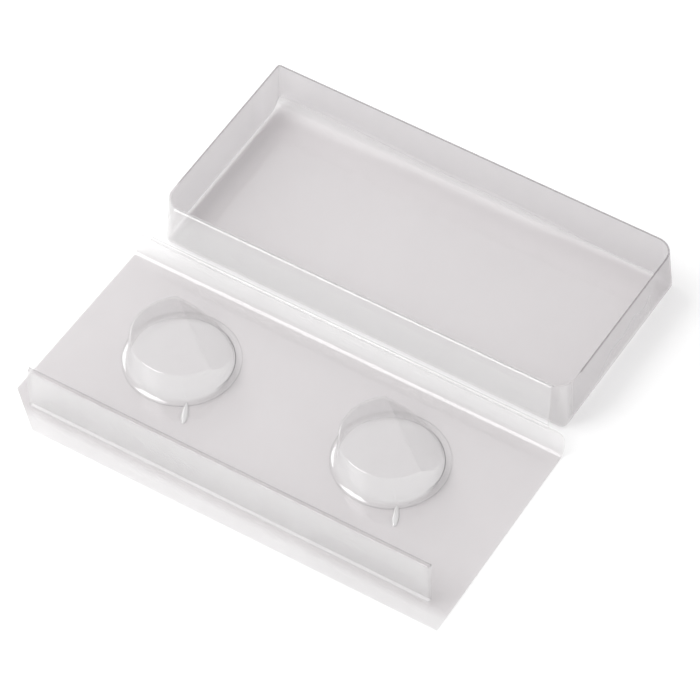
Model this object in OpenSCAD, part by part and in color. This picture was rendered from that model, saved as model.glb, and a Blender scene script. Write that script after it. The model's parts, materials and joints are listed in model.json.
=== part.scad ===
// Clear false eyelash case, lying open with its inside up.
// One formed sheet: a tray with two lash posts and a closing ridge, a living hinge and a lid.
// Origin: on the surface it rests on, below the hinge line. +X along the hinge, +Y towards the lid.

/* [Sheet] */
// Thickness of the clear sheet
sheet_t = 0.4; // [0.3:0.05:0.6]
// Gap left along the living hinge, where the film is thinned to bend
hinge_gap = 0.5; // [0.4:0.05:0.8]
// Gap between the closed lid and what it closes over
closing_gap = 0.5; // [0.3:0.05:1]

/* [Tray] */
// Length of the tray along its back edge
tray_back_w = 111; // [90:0.5:130]
// Length of the tray along its front edge
tray_front_w = 113; // [92:0.5:132]
// Depth of the tray from the hinge to its front edge
tray_d = 54.7; // [50:0.1:70]
// Height of the back wall's hinge line above the surface
hinge_z = 7; // [6:0.1:10]
// Rounding at the two upper corners of the back wall
back_corner_r = 2; // [0.5:0.1:4]
// Length of the cut across the front left corner, along the case
corner_cut_x = 9.5; // [2:0.1:14]
// Depth of that cut, across the case
corner_cut_y = 8; // [2:0.1:14]
// Rounding of the front right corner
corner_r = 1; // [0.5:0.1:3]

/* [Closing ridge] */
// Width of the flange in front of the ridge
flange_d = 5.1; // [3:0.1:8]
// Thickness of the ridge across its top
ridge_w = 1.4; // [1.2:0.1:2.5]

/* [Lash posts] */
// Radius of a post at its foot
post_r = 11.8; // [8:0.1:12]
// How much narrower a post is at its top, on the radius
post_draft = 0.3; // [0:0.05:0.8]
// Height of a post above the surface
post_h = 8.5; // [6:0.1:11]
// Distance between the two posts, centre to centre
post_pitch = 54.2; // [50:0.1:60]
// Distance of the pair's middle from the middle of the case
post_shift = -2.8; // [-4:0.1:4]
// Distance from the hinge line to the centre of a post
post_back = 21; // [20.5:0.1:26]
// Direction in which a post's ramp falls, from +X
ramp_turn = 51.5; // [0:0.5:90]
// Distance from a post's centre to the top of its ramp
ramp_start = 2.7; // [0:0.1:5]
// Height left standing at the foot of the ramp
ramp_foot = 0.9; // [0.8:0.05:2]

/* [Lid] */
// Outside length of the lid
lid_w = 104.6; // [86:0.1:108]
// Depth of the lid's walls
lid_h = 13.2; // [12:0.1:15]
// Distance from the hinge line to the lid's near wall
lid_back = 5.8; // [4:0.1:8]
// Rounding of the lid's corners at the open rim
lid_r = 4.5; // [1:0.1:5]
// Rounding of the far left corner at the rim
lid_far_left_r = 0.8; // [0.5:0.1:5]
// Length of the hinge web at the tray
web_w = 102.8; // [80:0.1:104]

/* [Hidden] */
$fn = 96;
cut = 1;                     // how far a cutter runs past a face
corner_fn = 32;              // sides of a rounded lid corner
closed_h = 2 * hinge_z;      // height of the closed case
ridge_front = -tray_d + flange_d;
ridge_back = ridge_front + ridge_w;
ridge_h = closed_h - sheet_t - 2 * closing_gap;
ridge_len = lid_w - 2 * (sheet_t + closing_gap);
lid_far = tray_d;            // the closed lid ends at the tray's front edge
lid_d = lid_far - lid_back;
wall_top = hinge_z - hinge_gap;
post_xs = [post_shift - post_pitch / 2, post_shift + post_pitch / 2];
web_rise = lid_h - hinge_z;
web_len = norm([lid_back, web_rise]);
web_turn = atan2(web_rise, lid_back);
web_lid_w = lid_w - 2 * lid_r;
plastic = [0.86, 0.86, 0.87, 0.55];
plastic_dark = [0.80, 0.80, 0.82, 0.55];

// Plan of the tray's sheet, with the front left corner cut off
module tray_plan() {
    hull() {
        for (s = [-1, 1]) translate([s * (tray_back_w / 2 - corner_r), -corner_r]) circle(r = corner_r);
        translate([tray_front_w / 2 - corner_r, corner_r - tray_d]) circle(r = corner_r);
        translate([-tray_front_w / 2 + corner_cut_x, -tray_d]) square([corner_cut_x, corner_r]);
        translate([-tray_front_w / 2, corner_cut_y - tray_d]) square(corner_r);
    }
}

// Back wall that carries the hinge, with rounded upper corners
module back_wall() {
    translate([0, sheet_t, 0]) rotate([90, 0, 0]) linear_extrude(sheet_t) hull() {
        translate([-tray_back_w / 2 + corner_r, 0]) square([tray_back_w - 2 * corner_r, sheet_t]);
        for (s = [-1, 1])
            translate([s * (tray_back_w / 2 - corner_r - back_corner_r), wall_top - back_corner_r])
                circle(r = back_corner_r);
    }
}

// Floor of the tray, open under each post and under the ridge, with its back wall
module tray() color(plastic) {
    difference() {
        linear_extrude(sheet_t) tray_plan();
        for (x = post_xs)
            translate([x, -post_back, -cut]) cylinder(r = post_r - sheet_t, h = sheet_t + 2 * cut);
        translate([-ridge_len / 2 + sheet_t, ridge_front + sheet_t, -cut])
            cube([ridge_len - 2 * sheet_t, ridge_w - 2 * sheet_t, sheet_t + 2 * cut]);
    }
    back_wall();
}

// A drum whose top falls in a ramp from a chord to the foot, smaller all round by inset
module post_block(inset) {
    top = post_h - inset;
    foot = max(ramp_foot - inset, 0);
    difference() {
        cylinder(r1 = post_r - inset, r2 = post_r - post_draft - inset, h = top);
        translate([0, post_r + cut, 0]) rotate([90, 0, 0]) linear_extrude(2 * (post_r + cut))
            polygon([[ramp_start, top], [ramp_start, top + cut], [post_r + cut, top + cut],
                     [post_r + cut, foot], [post_r - inset, foot]]);
    }
}

// One hollow lash post, standing on the floor of the tray
module lash_post(x) {
    translate([x, -post_back, 0]) rotate(ramp_turn) difference() {
        post_block(0);
        translate([0, 0, -cut / 100]) post_block(sheet_t);
        translate([0, 0, -cut]) cylinder(r = post_r + cut, h = sheet_t + cut);
    }
}

module left_lash_post() color(plastic_dark) lash_post(post_xs[0]);
module right_lash_post() color(plastic_dark) lash_post(post_xs[1]);

// Hollow ridge that the lid's far wall closes over
module closing_ridge() color(plastic) translate([0, ridge_front, sheet_t]) difference() {
    translate([-ridge_len / 2, 0, 0]) cube([ridge_len, ridge_w, ridge_h - sheet_t]);
    translate([-ridge_len / 2 + sheet_t, sheet_t, -cut])
        cube([ridge_len - 2 * sheet_t, ridge_w - 2 * sheet_t, ridge_h - 2 * sheet_t + cut]);
}

// Sloping strip between the hinge line and the lid's rim, which turns with the lid
module hinge_web() color(plastic_dark) intersection() {
    translate([0, 0, hinge_z]) rotate([web_turn, 0, 0]) translate([0, 0, -sheet_t / 2])
        linear_extrude(sheet_t) polygon([[-web_w / 2, hinge_gap], [web_w / 2, hinge_gap],
            [web_lid_w / 2, web_len], [-web_lid_w / 2, web_len]]);
    translate([-web_w, 0, 0]) cube([2 * web_w, lid_back, lid_h]);
}

// Lid's form: square at its floor and rounded at its rim, smaller all round by inset
module lid_block(inset) hull() {
    w = lid_w / 2 - inset;
    near = lid_back + inset;
    far = lid_far - inset;
    translate([-w, near, inset]) cube([2 * w, far - near, sheet_t / 4]);
    for (c = [[-1, near, lid_r, 1], [1, near, lid_r, 1], [1, far, lid_r, -1], [-1, far, lid_far_left_r, -1]]) {
        r = max(c[2] - inset, sheet_t / 4);
        translate([c[0] * (w - r), c[1] + c[3] * r, lid_h - sheet_t / 4 + (inset > 0 ? cut : 0)])
            cylinder(r = r, h = sheet_t / 4, $fn = corner_fn);
    }
}

module lid() color(plastic) difference() {
    lid_block(0);
    lid_block(sheet_t);
}

tray();
left_lash_post();
right_lash_post();
closing_ridge();
hinge_web();
lid();
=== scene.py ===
import json
from math import cos, hypot, pi, radians, sin
import bmesh
import bpy
from mathutils import Matrix, Vector


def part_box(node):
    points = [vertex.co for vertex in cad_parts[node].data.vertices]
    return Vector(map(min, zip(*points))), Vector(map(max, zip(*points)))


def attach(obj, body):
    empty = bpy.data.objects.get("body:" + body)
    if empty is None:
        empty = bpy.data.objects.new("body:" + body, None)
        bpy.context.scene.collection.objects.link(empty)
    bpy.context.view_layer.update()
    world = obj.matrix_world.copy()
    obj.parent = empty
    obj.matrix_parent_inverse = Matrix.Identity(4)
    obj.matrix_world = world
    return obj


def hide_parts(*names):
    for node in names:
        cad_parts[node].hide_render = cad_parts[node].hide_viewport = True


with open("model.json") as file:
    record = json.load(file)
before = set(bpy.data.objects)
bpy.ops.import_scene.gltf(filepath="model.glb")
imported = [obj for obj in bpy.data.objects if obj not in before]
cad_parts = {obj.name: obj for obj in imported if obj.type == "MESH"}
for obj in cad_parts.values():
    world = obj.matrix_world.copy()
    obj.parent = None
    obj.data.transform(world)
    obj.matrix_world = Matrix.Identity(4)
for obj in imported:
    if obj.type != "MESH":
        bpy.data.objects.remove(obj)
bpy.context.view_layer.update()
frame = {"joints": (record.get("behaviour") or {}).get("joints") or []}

mm = 0.001
slack = 0.01 * mm
tiny = 1e-9


# Selection, edit mode and finishing

def deselectAll():
    if bpy.context.object and bpy.context.object.mode != "OBJECT":
        bpy.ops.object.mode_set(mode="OBJECT")
    bpy.ops.object.select_all(action="DESELECT")


def makeActive(piece):
    deselectAll()
    piece.select_set(True)
    bpy.context.view_layer.objects.active = piece


def applyPlace(piece):
    makeActive(piece)
    bpy.ops.object.transform_apply(location=True, rotation=True, scale=True)


def applyModifiers(piece):
    makeActive(piece)
    for modifier in list(piece.modifiers):
        bpy.ops.object.modifier_apply(modifier=modifier.name)


# Leaves the piece in edit mode, with the wanted edges or faces selected
def pickParts(piece, kind, wanted):
    makeActive(piece)
    bpy.ops.object.mode_set(mode="EDIT")
    bpy.ops.mesh.select_mode(type=kind)
    bpy.ops.mesh.select_all(action="DESELECT")
    mesh = bmesh.from_edit_mesh(piece.data)
    for part in mesh.edges if kind == "EDGE" else mesh.faces:
        part.select = wanted(part)
    mesh.select_flush_mode()
    bmesh.update_edit_mesh(piece.data)


def pickEdges(piece, wanted):
    pickParts(piece, "EDGE", lambda edge: wanted(edge, edge.verts[0].co, edge.verts[1].co))


def pickFaces(piece, wanted):
    pickParts(piece, "FACE", wanted)


def roundEdges(width, steps):
    bpy.ops.mesh.bevel(offset=width, segments=steps, affect="EDGES")


def extrudeBy(x, y, z):
    bpy.ops.mesh.extrude_edges_move(TRANSFORM_OT_translate={"value": (x, y, z)})


# Gives a sheet its wall; an offset of -1 grows it inwards from the drawn face, and 1 outwards
def thicken(piece, thickness, offset):
    wall = piece.modifiers.new("wall", "SOLIDIFY")
    wall.thickness = thickness
    wall.offset = offset
    applyModifiers(piece)


def cutOut(piece, cutter):
    opening = piece.modifiers.new("opening", "BOOLEAN")
    opening.operation = "DIFFERENCE"
    opening.solver = "EXACT"
    opening.object = cutter
    applyModifiers(piece)
    bpy.data.objects.remove(cutter)


def finishPiece(piece, body, material, *nodes, angle=38):
    applyPlace(piece)
    makeActive(piece)
    bpy.ops.object.shade_smooth_by_angle(angle=radians(angle))
    piece.data.materials.clear()
    piece.data.materials.append(material)
    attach(piece, body)
    if nodes:
        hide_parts(*nodes)
    print(piece.name, "finished:", len(piece.data.polygons), "faces")


# Shader maths: an expression on values adds its Math nodes

class Value:
    def __init__(self, tree, socket):
        self.tree = tree
        self.socket = socket

    def math(self, operation, first, second):
        node = self.tree.nodes.new("ShaderNodeMath")
        node.operation = operation
        for place, given in zip(node.inputs, (first, second)):
            if isinstance(given, Value):
                self.tree.links.new(given.socket, place)
            else:
                place.default_value = given
        return Value(self.tree, node.outputs[0])

    def __add__(self, other):
        return self.math("ADD", self, other)

    def __radd__(self, other):
        return self.math("ADD", other, self)

    def __sub__(self, other):
        return self.math("SUBTRACT", self, other)

    def __rsub__(self, other):
        return self.math("SUBTRACT", other, self)

    def __mul__(self, other):
        return self.math("MULTIPLY", self, other)

    def __rmul__(self, other):
        return self.math("MULTIPLY", other, self)

    # A square is multiplied out, because it may be of a negative value
    def __pow__(self, other):
        return self.math("MULTIPLY", self, self) if other == 2 else self.math("POWER", self, other)

    def clamped(self):
        limit = self.math("ADD", self, 0.0)
        limit.socket.node.use_clamp = True
        return limit


# One material's node tree. A socket is given by its name, or as i and its number where names repeat.
class Finish:
    def __init__(self, name):
        self.material = bpy.data.materials.new(name)
        self.material.use_nodes = True
        self.tree = self.material.node_tree
        self.tree.nodes.clear()

    def node(self, kind, settings=None, output=0, **sockets):
        made = self.tree.nodes.new("ShaderNode" + kind)
        for name, given in (settings or {}).items():
            setattr(made, name, given)
        for name, given in sockets.items():
            key = int(name[1:]) if name[1:].isdigit() else name.replace("_", " ")
            place = made.inputs[key]
            if isinstance(given, Value):
                self.tree.links.new(given.socket, place)
            else:
                place.default_value = given
        return Value(self.tree, made.outputs[output])

    def surface(self, shader):
        out = self.tree.nodes.new("ShaderNodeOutputMaterial")
        self.tree.links.new(shader.socket, out.inputs["Surface"])
        return self.material


def postCentres():
    found = []
    for node in ("left_lash_post", "right_lash_post"):
        low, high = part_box(node)
        found.append(((low.x + high.x) / 2, (low.y + high.y) / 2))
    return found


# Clear sheet: a tinted film where it lies flat, clearer where it was drawn thin, a little haze, and gloss
# on top. Walls get a whiter haze than flat parts, as painted light; the far ramp paints shade on the walls
# beyond it, the shade-line ramps paint a dark line of shade, and creaseCentres paint shade round post feet.
# Ramps run along Y (far, thin, dull, lineDepth) and Z (lineHeight) in metres, each with its start
# and steepness. A start at 1 m, or at -1 m for thin, turns a ramp off, and lineDepth at -1 m is always on.
sheetLook = {
    "tint": (0.955, 0.947, 0.950, 1.0),
    "farTint": (0.81, 0.80, 0.805, 1.0),
    "thinTint": (0.995, 0.995, 0.995, 1.0),
    "edgeTint": (0.42, 0.41, 0.42, 1.0),
    "edgeStart": 13.0,
    "haze": 0.14,
    "hazeCloud": 0.05,
    "hazeFar": 0.12,
    "hazeThinned": 0.7,
    "cloudScale": 28.0,
    "cloudDetail": 3.0,
    "flatHaze": (0.62, 0.60, 0.605, 1.0),
    "wallHaze": (0.92, 0.905, 0.91, 1.0),
    "hazeRoughness": 0.5,
    "flatShare": 1.7,
    "farFrom": 1.0,
    "farSteep": 500.0,
    "thinFrom": -1.0,
    "thinSteep": 400.0,
    "thinShare": 0.65,
    "lineDepth": (-1.0, 4000.0),
    "lineHeight": (1.0, 4000.0),
    "lineShare": 0.75,
    "creaseCentres": (),
    "creaseTowards": (0.34, 0.94, 0.0),
    "creaseSteep": 330.0,
    "creaseRadius": 0.01188,
    "creaseWidth": 0.0001,
    "creaseShare": 0.8,
    "facingBlend": 0.5,
    "glossHeadOn": 0.045,
    "glossMost": 0.35,
    "glossGrazing": 3.5,
    "dullFrom": 1.0,
    "dullSteep": 250.0,
    "dullShare": 0.9,
    "glossTint": (1.0, 1.0, 1.0, 1.0),
    "glossRoughness": 0.07,
    "waveScale": 55.0,
    "waveDetail": 1.0,
    "waveStrength": 0.06,
    "waveHeight": 0.0004,
}


def rising(value, start, steep):
    return ((value - start) * steep).clamped()


def clearSheet(name, **changes):
    look = {**sheetLook, **changes}
    finish = Finish(name)
    place = finish.node("TexCoord", output="Object")
    depth = finish.node("SeparateXYZ", output="Y", Vector=place)
    height = finish.node("SeparateXYZ", output="Z", Vector=place)
    # Painted shade: a dark line where the depth and height shade-line ramps both rise
    line = rising(depth, *look["lineDepth"]) * rising(height, *look["lineHeight"]) * look["lineShare"]
    upward = finish.node("SeparateXYZ", output="Z", Vector=finish.node("TexCoord", output="Normal"))
    standing = (1 - upward * upward * look["flatShare"]).clamped()
    # Painted shade: walls beyond farFrom get a darker tint and more haze
    far = rising(depth, look["farFrom"], look["farSteep"]) * standing
    thin = ((look["thinFrom"] - depth) * look["thinSteep"]).clamped() * look["thinShare"]
    cloud = finish.node("TexNoise", Vector=place, Scale=look["cloudScale"], Detail=look["cloudDetail"])
    wave = finish.node("TexNoise", Vector=place, Scale=look["waveScale"], Detail=look["waveDetail"])
    bent = finish.node("Bump", Strength=look["waveStrength"], Distance=look["waveHeight"], Height=wave)
    facing = finish.node("LayerWeight", output="Facing", Blend=look["facingBlend"])
    tilted = finish.node("LayerWeight", output="Facing", Blend=look["facingBlend"], Normal=bent)

    # The film's tint, with the dark edge where the sheet is seen side on, and painted shade: the dark shade
    # line and a dark band round each post's foot on its far side
    film = finish.node("BsdfTransparent", Color=look["tint"])
    farFilm = finish.node("BsdfTransparent", Color=look["farTint"])
    thinFilm = finish.node("BsdfTransparent", Color=look["thinTint"])
    edge = finish.node("BsdfTransparent", Color=look["edgeTint"])
    film = finish.node("MixShader", Fac=(standing + thin).clamped(), i1=film, i2=thinFilm)
    film = finish.node("MixShader", Fac=far, i1=film, i2=farFilm)
    dark = facing ** look["edgeStart"] + line
    level = finish.node("VectorMath", {"operation": "MULTIPLY"}, i0=place, i1=(1, 1, 0))
    towards = look["creaseTowards"]
    # Painted shade: a thin dark band round the foot of each post, on its far side only
    for centre in look["creaseCentres"]:
        away = finish.node("VectorMath", {"operation": "DISTANCE"}, "Value", i0=level, i1=centre)
        along = finish.node("VectorMath", {"operation": "DOT_PRODUCT"}, "Value", i0=place, i1=towards)
        side = rising(along, Vector(centre).dot(towards), look["creaseSteep"])
        band = (1 - ((away - look["creaseRadius"]) * (1 / look["creaseWidth"])) ** 2).clamped()
        dark = dark + band * side * look["creaseShare"]
    film = finish.node("MixShader", Fac=dark, i1=film, i2=edge)

    # The haze and the gloss
    # Painted light: walls get a whiter haze than flat parts, which brightens them
    veil = look["flatHaze"]
    if look["wallHaze"] != veil:
        veil = finish.node("Mix", {"data_type": "RGBA"}, 2, i0=standing, i6=veil, i7=look["wallHaze"])
    hazy = finish.node("BsdfPrincipled", Base_Color=veil, Roughness=look["hazeRoughness"],
                       Specular_IOR_Level=0.0)
    hazeShare = look["haze"] + look["hazeCloud"] * cloud + look["hazeFar"] * far
    hazeShare = hazeShare * (1 - look["hazeThinned"] * thin)
    milky = finish.node("MixShader", Fac=hazeShare, i1=film, i2=hazy)
    dull = rising(depth, look["dullFrom"], look["dullSteep"]) * look["dullShare"]
    gloss = (look["glossHeadOn"] + look["glossMost"] * tilted ** look["glossGrazing"]) * (1 - dull)
    shine = finish.node("BsdfGlossy", Color=look["glossTint"], Roughness=look["glossRoughness"], Normal=bent)
    return finish.surface(finish.node("MixShader", Fac=gloss, i1=milky, i2=shine))


clearest = (1.0, 1.0, 1.0, 1.0)
traySheet = clearSheet("trayClearSheet", thinFrom=-0.0495)
# On the lid the walls away from the hinge are painted darker as shade, and a painted dark shade line runs
# along the rim
lidSheet = clearSheet("lidClearSheet", farFrom=0.0075, dullFrom=0.043,
                      lineDepth=(0.012, 1000.0), lineHeight=(0.0131, 20000.0))
# The posts get a band of painted shade round their feet, on the far side
postSheet = clearSheet("postClearSheet", tint=(0.945, 0.938, 0.941, 1.0), flatShare=1.3,
                       glossHeadOn=0.075, glossRoughness=0.08,
                       creaseCentres=[(x, y, 0) for x, y in postCentres()])
# Painted highlight: the nub's film is a white haze, so it reads as a bright streak
nubSheet = clearSheet("nubClearSheet", tint=clearest, edgeTint=(0.95, 0.95, 0.95, 1.0),
                      haze=0.42, flatHaze=clearest, wallHaze=clearest, glossHeadOn=0.12)
# The ridge gets a painted dark shade line along its back top edge
ridgeSheet = clearSheet("ridgeClearSheet", glossRoughness=0.06,
                        lineDepth=(-0.0486, 20000.0), lineHeight=(0.0123, 20000.0))
# Painted light: the web gets a whiter haze and a clearer tint than the tray, which brighten the sloped strip
webSheet = clearSheet("webClearSheet", tint=(0.995, 0.995, 0.995, 1.0), flatHaze=(0.9, 0.885, 0.89, 1.0))
print("six finishes of clear sheet are made")


# Tray: one sheet with its back edge turned up and the front left corner cut

trayShape = {
    "sheet": 0.4 * mm,
    "backInset": 1.0 * mm,
    "foldRound": 2.2 * mm,
    "foldSteps": 6,
    "wallCorner": 2.0 * mm,
    "cornerSteps": 6,
    "cornerCut": (9.5 * mm, 8.0 * mm),
    "cutThreshold": 0.001 * mm,
    "postHole": 13.35 * mm,
    "holeSides": 160,
    "holeDepth": 8 * mm,
}


def makeTray(shape, posts):
    low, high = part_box("tray")
    backHalf = high.x - shape["backInset"]
    deselectAll()
    middle = ((low.x + high.x) / 2, (low.y + high.y) / 2, low.z)
    bpy.ops.mesh.primitive_plane_add(size=1, location=middle)
    tray = bpy.context.object
    tray.name = "traySheet"
    tray.scale = (high.x - low.x, high.y - low.y, 1)
    applyPlace(tray)
    pickEdges(tray, lambda e, a, b: a.y > 0 and b.y > 0)
    bpy.ops.transform.resize(value=(backHalf / high.x, 1, 1))
    extrudeBy(0, 0, high.z - low.z)
    pickEdges(tray, lambda e, a, b: a.z > slack and b.z > slack)
    bpy.ops.mesh.select_mode(type="VERT")
    bpy.ops.mesh.bevel(offset=shape["wallCorner"], segments=shape["cornerSteps"], affect="VERTICES")
    pickEdges(tray, lambda e, a, b: a.y > 0 and b.y > 0 and max(a.z, b.z) < slack)
    roundEdges(shape["foldRound"], shape["foldSteps"])
    cutX, cutY = shape["cornerCut"]
    bpy.ops.mesh.select_all(action="SELECT")
    cutNormal = Vector((-cutY, -cutX, 0)).normalized()
    bpy.ops.mesh.bisect(plane_co=(low.x + cutX, low.y, 0), plane_no=cutNormal,
                        threshold=shape["cutThreshold"], clear_outer=True)
    thicken(tray, shape["sheet"], 1.0)
    for post in posts:
        deselectAll()
        bpy.ops.mesh.primitive_cylinder_add(vertices=shape["holeSides"], radius=shape["postHole"],
                                            depth=shape["holeDepth"], location=(*post, 0))
        cutOut(tray, bpy.context.object)

    # The slot under the hollow ridge
    ridgeLow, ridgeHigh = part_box("closing_ridge")
    deselectAll()
    under = (ridgeLow + ridgeHigh) / 2 - Vector((0, 0, ridgeHigh.z / 2))
    bpy.ops.mesh.primitive_cube_add(size=1, location=under)
    slot = bpy.context.object
    slot.scale = ridgeHigh - ridgeLow - Vector((shape["sheet"], shape["sheet"], 0))
    applyPlace(slot)
    cutOut(tray, slot)
    finishPiece(tray, "tray_body", traySheet, "tray")


# Lash posts: a drum drawn up from the sheet, its top falling in a ramp. Its foot is rounded more towards
# footWideAt, and footMost and topMost hold the rounds back where the drum is low.

postShape = {
    "sheet": 0.4 * mm,
    "footOut": 1.6 * mm,
    "footRound": 1.5 * mm,
    "footLeast": 0.12 * mm,
    "footMost": 0.5,
    "footWideAt": (-0.55, -0.83),
    "draft": 0.3 * mm,
    "topRound": 0.5 * mm,
    "topMost": 0.45,
    "roundSteps": 4,
    "rampTurn": radians(51.5),
    "rampStart": 2.7 * mm,
    "rampFoot": 0.9 * mm,
    "rampEase": 0.35 * mm,
    "sides": 192,
    "wallRings": 8,
    "topRings": 26,
}


# The smaller of two heights, with a small round where they cross
def softLeast(first, second, ease):
    gap = max(ease - abs(first - second), 0) / ease
    return min(first, second) - gap * gap * ease / 4


# Rings from the foot to the middle of the top: radius, share of the wall's height, and how far the ring
# lies above the sheet in the foot's round or below the top in the upper round
def postRings(shape, radius):
    steps = shape["roundSteps"]
    rings = [(radius + shape["footOut"], 0.0, 0.0)]
    for k in range(1, steps + 1):
        turn = k * pi / (2 * steps)
        rise = shape["footRound"] * (1 - cos(turn))
        rings.append((radius + shape["footRound"] * (1 - sin(turn)), 0.0, rise))
    for k in range(1, shape["wallRings"] + 1):
        share = k / shape["wallRings"]
        rings.append((radius - shape["draft"] * share, share, None))
    for k in range(1, steps + 1):
        turn = k * pi / (2 * steps)
        inward = shape["topRound"] * (1 - cos(turn))
        rings.append((radius - shape["draft"] - inward, 1.0, shape["topRound"] * (1 - sin(turn))))
    rim = rings[-1][0]
    for k in range(1, shape["topRings"]):
        rings.append((rim * (1 - k / shape["topRings"]), 1.0, 0.0))
    return rings


def makePost(name, node, shape):
    low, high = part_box(node)
    centre = Vector(((low.x + high.x) / 2, (low.y + high.y) / 2))
    radius = (high.x - low.x) / 2
    top = high.z
    sheet = shape["sheet"]
    steps = shape["roundSteps"]
    fall = Vector((cos(shape["rampTurn"]), sin(shape["rampTurn"])))
    slope = (shape["rampFoot"] - top) / (radius - shape["rampStart"])
    rings = postRings(shape, radius)

    def topAt(x, y):
        along = x * fall.x + y * fall.y
        ramp = top + (along - shape["rampStart"]) * slope
        return max(softLeast(top, ramp, shape["rampEase"]), sheet)

    # Every ring is extruded up by 1 mm, so that its height tells its number until it is put in place
    deselectAll()
    bpy.ops.mesh.primitive_circle_add(vertices=shape["sides"], radius=rings[0][0],
                                      location=(centre.x, centre.y, 0))
    post = bpy.context.object
    post.name = name
    applyPlace(post)
    bpy.ops.object.mode_set(mode="EDIT")
    bpy.ops.mesh.select_all(action="SELECT")
    for before, ring in zip(rings, rings[1:]):
        extrudeBy(0, 0, 1 * mm)
        share = ring[0] / before[0]
        bpy.ops.transform.resize(value=(share, share, 1), center_override=(centre.x, centre.y, 0))
    bpy.ops.mesh.edge_face_add()
    bpy.ops.mesh.poke()
    bpy.ops.object.mode_set(mode="OBJECT")
    for vertex in post.data.vertices:
        number = min(int(round(vertex.co.z / mm)), len(rings) - 1)
        share, drop = rings[number][1:]
        x, y = vertex.co.x - centre.x, vertex.co.y - centre.y
        reach = max(hypot(x, y), tiny)
        peak = topAt(x, y)
        rimTop = topAt(x / reach * radius, y / reach * radius)
        lean = (x * shape["footWideAt"][0] + y * shape["footWideAt"][1]) / reach
        wide = shape["footLeast"] + (shape["footRound"] - shape["footLeast"]) * (1 + lean) / 2
        if 1 <= number <= steps:
            outHere = radius + wide * (1 - sin(number * pi / (2 * steps)))
            vertex.co.x = centre.x + x / reach * outHere
            vertex.co.y = centre.y + y / reach * outHere
        foot = min(wide, (rimTop - sheet) * shape["footMost"])
        upper = min(shape["topRound"], (rimTop - sheet) * shape["topMost"])
        if number == 0:
            vertex.co.z = sheet
        elif number <= steps:
            vertex.co.z = sheet + foot * (drop / shape["footRound"])
        elif drop is None:
            vertex.co.z = sheet + foot + (rimTop - upper - sheet - foot) * share
        else:
            vertex.co.z = peak - upper * (drop / shape["topRound"]) if drop else peak
    makeActive(post)
    bpy.ops.object.mode_set(mode="EDIT")
    bpy.ops.mesh.select_all(action="SELECT")
    bpy.ops.mesh.normals_make_consistent(inside=False)
    bpy.ops.object.mode_set(mode="OBJECT")
    if post.data.polygons[-1].normal.z < 0:
        post.data.flip_normals()
    thicken(post, sheet, -1.0)
    finishPiece(post, "tray_body", postSheet, node, angle=30)


# Nubs: a small raised drop in the tray in front of each post, given a white haze as a painted highlight

nubShape = {
    "place": Vector((8.8, -12.3, 0.1)) * mm,
    "size": Vector((1.0, 3.1, 0.62)) * mm,
    "turn": radians(24),
    "narrow": 0.55,
    "least": 0.2 * mm,
    "sides": 32,
    "rings": 16,
}


def makeNub(name, post, shape):
    deselectAll()
    bpy.ops.mesh.primitive_uv_sphere_add(segments=shape["sides"], ring_count=shape["rings"], radius=1,
                                         location=Vector((*post, 0)) + shape["place"])
    nub = bpy.context.object
    nub.name = name
    for vertex in nub.data.vertices:
        vertex.co.x = vertex.co.x * (1 - shape["narrow"] * (1 + vertex.co.y) / 2)
    nub.scale = shape["size"]
    nub.rotation_euler = (0, 0, shape["turn"])
    applyPlace(nub)
    for vertex in nub.data.vertices:
        vertex.co.z = max(vertex.co.z, shape["least"])
    finishPiece(nub, "tray_body", nubSheet)


# Closing ridge along the front of the tray, hollow and open underneath

ridgeShape = {"sheet": 0.3 * mm, "edgeRound": 0.45 * mm, "roundSteps": 4}


def makeRidge(shape):
    low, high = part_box("closing_ridge")
    size = high - low
    deselectAll()
    bpy.ops.mesh.primitive_cube_add(size=1, location=(low + high) / 2)
    ridge = bpy.context.object
    ridge.name = "closingRidgeSheet"
    ridge.scale = size
    applyPlace(ridge)
    pickFaces(ridge, lambda f: f.normal.z < -0.9)
    bpy.ops.mesh.delete(type="ONLY_FACE")
    pickEdges(ridge, lambda e, a, b: not e.is_boundary and abs(a.x - b.x) < shape["sheet"])
    roundEdges(shape["edgeRound"], shape["roundSteps"])
    pickEdges(ridge, lambda e, a, b: min(a.z, b.z) > high.z - slack and abs(a.x - b.x) > size.x / 2)
    roundEdges(shape["edgeRound"], shape["roundSteps"])
    thicken(ridge, shape["sheet"], -1.0)
    finishPiece(ridge, "tray_body", ridgeSheet, "closing_ridge")


# Living hinge: the thin rolled film on the hinge line, and the strip that runs up to the lid's rim

hingeShape = {
    "film": 0.42 * mm,
    "filmSides": 24,
    "filmRound": 0.252 * mm,
    "filmSteps": 3,
    "sheet": 0.35 * mm,
    "foldRound": 0.225 * mm,
    "foldSteps": 4,
    "hem": 0.5 * mm,
    "bay": 2.6 * mm,
}


def makeFilm(shape):
    line = Vector(frame["joints"][0]["pos_m"])
    low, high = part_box("hinge_web")
    deselectAll()
    bpy.ops.mesh.primitive_cylinder_add(vertices=shape["filmSides"], radius=shape["film"],
                                        depth=high.x - low.x, location=line, rotation=(0, pi / 2, 0))
    film = bpy.context.object
    film.name = "hingeFilm"
    applyPlace(film)
    pickEdges(film, lambda e, a, b: abs(a.x - b.x) < slack)
    roundEdges(shape["filmRound"], shape["filmSteps"])
    finishPiece(film, "tray_body", webSheet)


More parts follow.
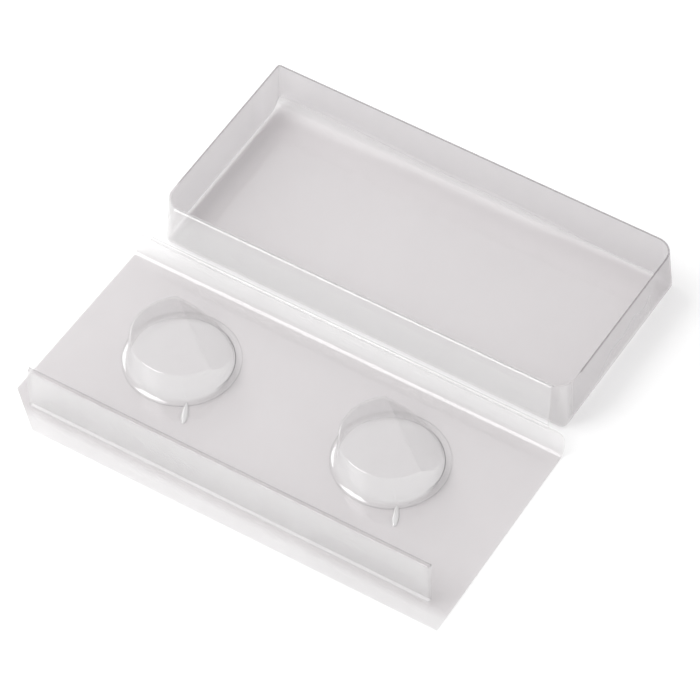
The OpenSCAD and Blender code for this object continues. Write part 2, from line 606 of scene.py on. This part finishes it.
def makeWeb(shape):
    low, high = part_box("hinge_web")
    lidLow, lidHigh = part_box("lid")
    deselectAll()
    bpy.ops.mesh.primitive_plane_add(size=1, location=(0, low.y, low.z))
    web = bpy.context.object
    web.name = "hingeWebSheet"
    web.scale = (high.x - low.x, slack, 1)
    applyPlace(web)
    pickEdges(web, lambda e, a, b: a.y > low.y and b.y > low.y)
    rimY = lidLow.y
    rimZ = lidHigh.z - shape["sheet"]
    extrudeBy(0, rimY - low.y, rimZ - low.z)
    share = (high.x - shape["bay"]) / high.x
    bpy.ops.transform.resize(value=(share, 1, 1), center_override=(0, rimY, rimZ))
    extrudeBy(0, shape["hem"], 0)
    extrudeBy(0, 0, -shape["hem"])
    pickEdges(web, lambda e, a, b: not e.is_boundary and min(a.y, b.y) > lidLow.y - slack)
    roundEdges(shape["foldRound"], shape["foldSteps"])
    thicken(web, shape["sheet"], 1.0)
    finishPiece(web, "lid_body", webSheet, "hinge_web")


# Lid: a deep pan, nearly square at its floor and rounded at the corners of its open rim. Its floor sweeps
# up into the far wall, by three depths: at its left end, in the middle and at its right end.

lidShape = {
    "sheet": 0.4 * mm,
    "cornerRound": 4.5 * mm,
    "cornerSteps": 10,
    "floorCorner": 0.34,
    "farLeftCorner": 0.16,
    "foldRound": 1.1 * mm,
    "foldSteps": 5,
    "sweep": (5.6 * mm, 3.6 * mm, 1.4 * mm),
    "sweepReach": 1.2,
    "sweepWave": 0.5 * mm,
    "waveTurn": 7.0,
    "rows": 11,
    "columns": 44,
}


def makeLid(shape):
    low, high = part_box("lid")
    size = high - low
    deselectAll()
    bpy.ops.mesh.primitive_cube_add(size=1, location=(low + high) / 2)
    lid = bpy.context.object
    lid.name = "lidSheet"
    lid.scale = size
    applyPlace(lid)
    pickFaces(lid, lambda f: f.normal.z > 0.9)
    bpy.ops.mesh.delete(type="ONLY_FACE")
    pickEdges(lid, lambda e, a, b: abs(a.z - b.z) > size.z / 2)
    roundEdges(shape["cornerRound"], shape["cornerSteps"])
    bpy.ops.object.mode_set(mode="OBJECT")

    # The rounded corners are drawn in towards the square ones, by a share
    for vertex in lid.data.vertices:
        corner = Vector((high.x if vertex.co.x > 0 else low.x,
                         high.y if vertex.co.y > low.y + size.y / 2 else low.y, vertex.co.z))
        share = 1.0
        if vertex.co.z < high.z - slack:
            share = shape["floorCorner"]
        elif corner.x < 0 and corner.y == high.y:
            share = shape["farLeftCorner"]
        away = max(abs(vertex.co.x - corner.x), abs(vertex.co.y - corner.y))
        if away < shape["cornerRound"] + slack:
            vertex.co = corner + (vertex.co - corner) * share
    pickEdges(lid, lambda e, a, b: not e.is_boundary and max(a.z, b.z) < slack)
    roundEdges(shape["foldRound"], shape["foldSteps"])

    # Rows and columns of cuts, so that the sweep can bend the sheet
    reach = max(shape["sweep"]) * shape["sweepReach"]
    for k in range(shape["rows"]):
        y = high.y - shape["foldRound"] - (reach - shape["foldRound"]) * k / (shape["rows"] - 1)
        bpy.ops.mesh.select_all(action="SELECT")
        bpy.ops.mesh.bisect(plane_co=(0, y, 0), plane_no=(0, 1, 0))
    for k in range(1, shape["columns"]):
        x = low.x + size.x * k / shape["columns"]
        bpy.ops.mesh.select_all(action="SELECT")
        bpy.ops.mesh.bisect(plane_co=(x, 0, 0), plane_no=(1, 0, 0))
    bpy.ops.object.mode_set(mode="OBJECT")
    atLeft, atMiddle, atRight = shape["sweep"]
    for vertex in lid.data.vertices:
        along = vertex.co.x / high.x
        sweep = atMiddle + (atRight - atLeft) / 2 * along + ((atLeft + atRight) / 2 - atMiddle) * along ** 2
        sweep = sweep + shape["sweepWave"] * sin(along * shape["waveTurn"])
        into = vertex.co.y - (high.y - sweep)
        if into > 0:
            risen = sweep - (max(sweep ** 2 - min(into, sweep) ** 2, 0)) ** 0.5
            vertex.co.z = max(vertex.co.z, low.z + risen)
    thicken(lid, shape["sheet"], -1.0)
    for vertex in lid.data.vertices:
        vertex.co.z = max(vertex.co.z, low.z)
    finishPiece(lid, "lid_body", lidSheet, "lid")


# Camera, floor and light

viewShape = {
    "turn": 0.569,
    "rise": 0.889,
    "roll": 0.016,
    "distance": 1096.6 * mm,
    "aim": (0.349 * mm, 0.704 * mm, 0.0),
    "frameWidth": 700,
    "focalPixels": 4953,
    "sensor": 36.0,
    "clipStart": 0.01,
}

stageLook = {
    "floorSize": 6,
    "floorDrop": 0.02 * mm,
    "floorPaint": (0.92, 0.92, 0.92, 1.0),
    "floorRoughness": 0.9,
    "floorSpecular": 0.1,
    "airTint": (1.0, 1.0, 1.0, 1.0),
    "airStrength": 0.87,
}

keySoftbox = {
    "place": (-0.33, -0.27, 0.66),
    "along": (0, -0.9, -0.45),
    "width": 0.32,
    "length": 0.6,
    "power": 2.5,
}

leftSoftbox = {
    "place": (-0.64, 0.2, 0.42),
    "along": (0, 0, 1),
    "width": 0.24,
    "length": 0.3,
    "power": 0.9,
}


def makeCamera(view):
    flat = cos(view["rise"])
    away = Vector((flat * sin(view["turn"]), -flat * cos(view["turn"]), sin(view["rise"])))
    right = Vector((cos(view["turn"]), sin(view["turn"]), 0))
    up = away.cross(right)
    rolledRight = right * cos(view["roll"]) - up * sin(view["roll"])
    rolledUp = right * sin(view["roll"]) + up * cos(view["roll"])
    deselectAll()
    bpy.ops.object.camera_add()
    camera = bpy.context.object
    camera.data.sensor_width = view["sensor"]
    camera.data.lens = view["focalPixels"] / view["frameWidth"] * view["sensor"]
    camera.data.clip_start = view["clipStart"]
    turned = Matrix((rolledRight, rolledUp, away)).transposed().to_4x4()
    camera.matrix_world = Matrix.Translation(Vector(view["aim"]) + away * view["distance"]) @ turned
    bpy.context.scene.camera = camera


# An area light that faces the origin, its length lying along the given direction
def addSoftbox(name, box):
    deselectAll()
    bpy.ops.object.light_add(type="AREA", location=box["place"])
    lamp = bpy.context.object
    lamp.name = name
    lamp.data.shape = "RECTANGLE"
    lamp.data.size = box["width"]
    lamp.data.size_y = box["length"]
    lamp.data.energy = box["power"]
    back = Vector(box["place"]).normalized()
    across = Vector(box["along"]).cross(back).normalized()
    lamp.rotation_euler = Matrix((across, back.cross(across), back)).transposed().to_euler()


def makeStage(look):
    deselectAll()
    bpy.ops.mesh.primitive_plane_add(size=look["floorSize"], location=(0, 0, -look["floorDrop"]))
    floor = bpy.context.object
    floor.name = "studioFloor"
    paint = Finish("studioWhite")
    white = paint.node("BsdfPrincipled", Base_Color=look["floorPaint"], Roughness=look["floorRoughness"],
                       Specular_IOR_Level=look["floorSpecular"])
    floor.data.materials.append(paint.surface(white))
    world = bpy.data.worlds.new("studioAir")
    bpy.context.scene.world = world
    world.use_nodes = True
    sky = world.node_tree.nodes["Background"]
    sky.inputs["Color"].default_value = look["airTint"]
    sky.inputs["Strength"].default_value = look["airStrength"]
    addSoftbox("keySoftbox", keySoftbox)
    addSoftbox("leftSoftbox", leftSoftbox)
    bpy.context.scene.view_settings.view_transform = "Standard"


makeCamera(viewShape)
makeStage(stageLook)
print("camera, floor and light are set")
makeTray(trayShape, postCentres())
makePost("leftLashPostSheet", "left_lash_post", postShape)
makePost("rightLashPostSheet", "right_lash_post", postShape)
for side, post in zip(("left", "right"), postCentres()):
    makeNub(side + "Nub", post, nubShape)
makeRidge(ridgeShape)
makeFilm(hingeShape)
makeWeb(hingeShape)
makeLid(lidShape)
